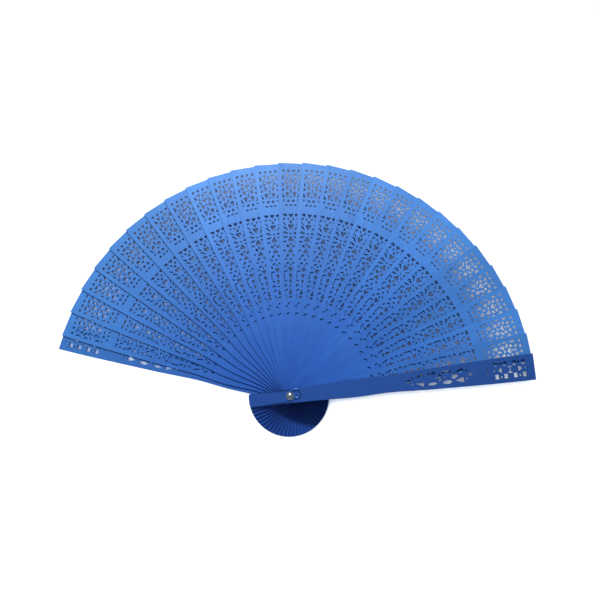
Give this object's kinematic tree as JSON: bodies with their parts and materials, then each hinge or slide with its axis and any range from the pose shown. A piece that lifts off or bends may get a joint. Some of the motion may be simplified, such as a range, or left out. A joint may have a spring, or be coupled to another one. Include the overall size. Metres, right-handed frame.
{
  "type": "folding hand fan",
  "caption": "Folding hand fan of thin pierced wooden sticks that spread evenly about one rivet between two thicker guards.",
  "frame": {"origin": "on the pivot's axis, at the flat back end of the rivet that the fan lies on", "axes": "+Z out of the fan's front face along the pivot; +Y along the middle line of the open fan; +X to the right, seen from the front"},
  "size_m": [0.3415, 0.2011, 0.0301],
  "materials": {
    "leaf_wood": "blue dyed thin wood, satin",
    "guard_wood": "blue dyed wood, satin",
    "ribbon": "narrow woven satin ribbon",
    "plated_steel": "bright plated steel"
  },
  "bodies": {
    "back_guard": {"back_guard": "guard_wood", "back_washer": "plated_steel", "pivot_rivet": "plated_steel", "front_washer": "plated_steel"},
    "leaf_01": {"leaf_01": "leaf_wood", "ribbon_tab_01": "ribbon"},
    "leaf_02": {"leaf_02": "leaf_wood", "ribbon_tab_02": "ribbon"},
    "leaf_03": {"leaf_03": "leaf_wood", "ribbon_tab_03": "ribbon"},
    "leaf_04": {"leaf_04": "leaf_wood", "ribbon_tab_04": "ribbon"},
    "leaf_05": {"leaf_05": "leaf_wood", "ribbon_tab_05": "ribbon"},
    "leaf_06": {"leaf_06": "leaf_wood", "ribbon_tab_06": "ribbon"},
    "leaf_07": {"leaf_07": "leaf_wood", "ribbon_tab_07": "ribbon"},
    "leaf_08": {"leaf_08": "leaf_wood", "ribbon_tab_08": "ribbon"},
    "leaf_09": {"leaf_09": "leaf_wood", "ribbon_tab_09": "ribbon"},
    "leaf_10": {"leaf_10": "leaf_wood", "ribbon_tab_10": "ribbon"},
    "leaf_11": {"leaf_11": "leaf_wood", "ribbon_tab_11": "ribbon"},
    "leaf_12": {"leaf_12": "leaf_wood", "ribbon_tab_12": "ribbon"},
    "leaf_13": {"leaf_13": "leaf_wood", "ribbon_tab_13": "ribbon"},
    "leaf_14": {"leaf_14": "leaf_wood", "ribbon_tab_14": "ribbon"},
    "leaf_15": {"leaf_15": "leaf_wood", "ribbon_tab_15": "ribbon"},
    "leaf_16": {"leaf_16": "leaf_wood", "ribbon_tab_16": "ribbon"},
    "leaf_17": {"leaf_17": "leaf_wood", "ribbon_tab_17": "ribbon"},
    "leaf_18": {"leaf_18": "leaf_wood", "ribbon_tab_18": "ribbon"},
    "leaf_19": {"leaf_19": "leaf_wood", "ribbon_tab_19": "ribbon"},
    "leaf_20": {"leaf_20": "leaf_wood", "ribbon_tab_20": "ribbon"},
    "leaf_21": {"leaf_21": "leaf_wood", "ribbon_tab_21": "ribbon"},
    "leaf_22": {"leaf_22": "leaf_wood", "ribbon_tab_22": "ribbon"},
    "leaf_23": {"leaf_23": "leaf_wood", "ribbon_tab_23": "ribbon"},
    "leaf_24": {"leaf_24": "leaf_wood", "ribbon_tab_24": "ribbon"},
    "leaf_25": {"leaf_25": "leaf_wood", "ribbon_tab_25": "ribbon"},
    "leaf_26": {"leaf_26": "leaf_wood", "ribbon_tab_26": "ribbon"},
    "front_guard": {"front_guard": "guard_wood", "ribbon_tab_27": "ribbon"},
    "tassel_link": {"tassel_link": "plated_steel"}
  },
  "joints": [
    {"name": "leaf_01_turn", "type": "hinge", "parent": "back_guard", "child": "leaf_01", "pos_m": [0, 0, 0], "axis": [0, 0, 1], "range_deg": [0, 3.5]},
    {"name": "leaf_02_turn", "type": "hinge", "parent": "back_guard", "child": "leaf_02", "pos_m": [0, 0, 0], "axis": [0, 0, 1], "range_deg": [0, 9.53]},
    {"name": "leaf_03_turn", "type": "hinge", "parent": "back_guard", "child": "leaf_03", "pos_m": [0, 0, 0], "axis": [0, 0, 1], "range_deg": [0, 15.55]},
    {"name": "leaf_04_turn", "type": "hinge", "parent": "back_guard", "child": "leaf_04", "pos_m": [0, 0, 0], "axis": [0, 0, 1], "range_deg": [0, 21.57]},
    {"name": "leaf_05_turn", "type": "hinge", "parent": "back_guard", "child": "leaf_05", "pos_m": [0, 0, 0], "axis": [0, 0, 1], "range_deg": [0, 27.6]},
    {"name": "leaf_06_turn", "type": "hinge", "parent": "back_guard", "child": "leaf_06", "pos_m": [0, 0, 0], "axis": [0, 0, 1], "range_deg": [0, 33.62]},
    {"name": "leaf_07_turn", "type": "hinge", "parent": "back_guard", "child": "leaf_07", "pos_m": [0, 0, 0], "axis": [0, 0, 1], "range_deg": [0, 39.65]},
    {"name": "leaf_08_turn", "type": "hinge", "parent": "back_guard", "child": "leaf_08", "pos_m": [0, 0, 0], "axis": [0, 0, 1], "range_deg": [0, 45.67]},
    {"name": "leaf_09_turn", "type": "hinge", "parent": "back_guard", "child": "leaf_09", "pos_m": [0, 0, 0], "axis": [0, 0, 1], "range_deg": [0, 51.69]},
    {"name": "leaf_10_turn", "type": "hinge", "parent": "back_guard", "child": "leaf_10", "pos_m": [0, 0, 0], "axis": [0, 0, 1], "range_deg": [0, 57.72]},
    {"name": "leaf_11_turn", "type": "hinge", "parent": "back_guard", "child": "leaf_11", "pos_m": [0, 0, 0], "axis": [0, 0, 1], "range_deg": [0, 63.74]},
    {"name": "leaf_12_turn", "type": "hinge", "parent": "back_guard", "child": "leaf_12", "pos_m": [0, 0, 0], "axis": [0, 0, 1], "range_deg": [0, 69.77]},
    {"name": "leaf_13_turn", "type": "hinge", "parent": "back_guard", "child": "leaf_13", "pos_m": [0, 0, 0], "axis": [0, 0, 1], "range_deg": [0, 75.79]},
    {"name": "leaf_14_turn", "type": "hinge", "parent": "back_guard", "child": "leaf_14", "pos_m": [0, 0, 0], "axis": [0, 0, 1], "range_deg": [0, 81.81]},
    {"name": "leaf_15_turn", "type": "hinge", "parent": "back_guard", "child": "leaf_15", "pos_m": [0, 0, 0], "axis": [0, 0, 1], "range_deg": [0, 87.84]},
    {"name": "leaf_16_turn", "type": "hinge", "parent": "back_guard", "child": "leaf_16", "pos_m": [0, 0, 0], "axis": [0, 0, 1], "range_deg": [0, 93.86]},
    {"name": "leaf_17_turn", "type": "hinge", "parent": "back_guard", "child": "leaf_17", "pos_m": [0, 0, 0], "axis": [0, 0, 1], "range_deg": [0, 99.89]},
    {"name": "leaf_18_turn", "type": "hinge", "parent": "back_guard", "child": "leaf_18", "pos_m": [0, 0, 0], "axis": [0, 0, 1], "range_deg": [0, 105.91]},
    {"name": "leaf_19_turn", "type": "hinge", "parent": "back_guard", "child": "leaf_19", "pos_m": [0, 0, 0], "axis": [0, 0, 1], "range_deg": [0, 111.93]},
    {"name": "leaf_20_turn", "type": "hinge", "parent": "back_guard", "child": "leaf_20", "pos_m": [0, 0, 0], "axis": [0, 0, 1], "range_deg": [0, 117.96]},
    {"name": "leaf_21_turn", "type": "hinge", "parent": "back_guard", "child": "leaf_21", "pos_m": [0, 0, 0], "axis": [0, 0, 1], "range_deg": [0, 123.98]},
    {"name": "leaf_22_turn", "type": "hinge", "parent": "back_guard", "child": "leaf_22", "pos_m": [0, 0, 0], "axis": [0, 0, 1], "range_deg": [0, 130]},
    {"name": "leaf_23_turn", "type": "hinge", "parent": "back_guard", "child": "leaf_23", "pos_m": [0, 0, 0], "axis": [0, 0, 1], "range_deg": [0, 136.03]},
    {"name": "leaf_24_turn", "type": "hinge", "parent": "back_guard", "child": "leaf_24", "pos_m": [0, 0, 0], "axis": [0, 0, 1], "range_deg": [0, 142.05]},
    {"name": "leaf_25_turn", "type": "hinge", "parent": "back_guard", "child": "leaf_25", "pos_m": [0, 0, 0], "axis": [0, 0, 1], "range_deg": [0, 148.08]},
    {"name": "leaf_26_turn", "type": "hinge", "parent": "back_guard", "child": "leaf_26", "pos_m": [0, 0, 0], "axis": [0, 0, 1], "range_deg": [0, 154.1]},
    {"name": "front_guard_turn", "type": "hinge", "parent": "back_guard", "child": "front_guard", "pos_m": [0, 0, 0], "axis": [0, 0, 1], "range_deg": [0, 158.8]},
    {"name": "tassel_link_spin", "type": "hinge", "parent": "back_guard", "child": "tassel_link", "pos_m": [0, 0, 0], "axis": [0, 0, 1], "continuous": true}
  ],
  "couplings": [
    {"joint": "leaf_01_turn", "follows": "front_guard_turn", "ratio": 0.02204},
    {"joint": "leaf_02_turn", "follows": "front_guard_turn", "ratio": 0.059975},
    {"joint": "leaf_03_turn", "follows": "front_guard_turn", "ratio": 0.097909},
    {"joint": "leaf_04_turn", "follows": "front_guard_turn", "ratio": 0.13584},
    {"joint": "leaf_05_turn", "follows": "front_guard_turn", "ratio": 0.17378},
    {"joint": "leaf_06_turn", "follows": "front_guard_turn", "ratio": 0.21171},
    {"joint": "leaf_07_turn", "follows": "front_guard_turn", "ratio": 0.24965},
    {"joint": "leaf_08_turn", "follows": "front_guard_turn", "ratio": 0.28758},
    {"joint": "leaf_09_turn", "follows": "front_guard_turn", "ratio": 0.32552},
    {"joint": "leaf_10_turn", "follows": "front_guard_turn", "ratio": 0.36345},
    {"joint": "leaf_11_turn", "follows": "front_guard_turn", "ratio": 0.40139},
    {"joint": "leaf_12_turn", "follows": "front_guard_turn", "ratio": 0.43932},
    {"joint": "leaf_13_turn", "follows": "front_guard_turn", "ratio": 0.47725},
    {"joint": "leaf_14_turn", "follows": "front_guard_turn", "ratio": 0.51519},
    {"joint": "leaf_15_turn", "follows": "front_guard_turn", "ratio": 0.55312},
    {"joint": "leaf_16_turn", "follows": "front_guard_turn", "ratio": 0.59106},
    {"joint": "leaf_17_turn", "follows": "front_guard_turn", "ratio": 0.62899},
    {"joint": "leaf_18_turn", "follows": "front_guard_turn", "ratio": 0.66693},
    {"joint": "leaf_19_turn", "follows": "front_guard_turn", "ratio": 0.70486},
    {"joint": "leaf_20_turn", "follows": "front_guard_turn", "ratio": 0.7428},
    {"joint": "leaf_21_turn", "follows": "front_guard_turn", "ratio": 0.78073},
    {"joint": "leaf_22_turn", "follows": "front_guard_turn", "ratio": 0.81866},
    {"joint": "leaf_23_turn", "follows": "front_guard_turn", "ratio": 0.8566},
    {"joint": "leaf_24_turn", "follows": "front_guard_turn", "ratio": 0.89453},
    {"joint": "leaf_25_turn", "follows": "front_guard_turn", "ratio": 0.93247},
    {"joint": "leaf_26_turn", "follows": "front_guard_turn", "ratio": 0.9704}
  ]
}
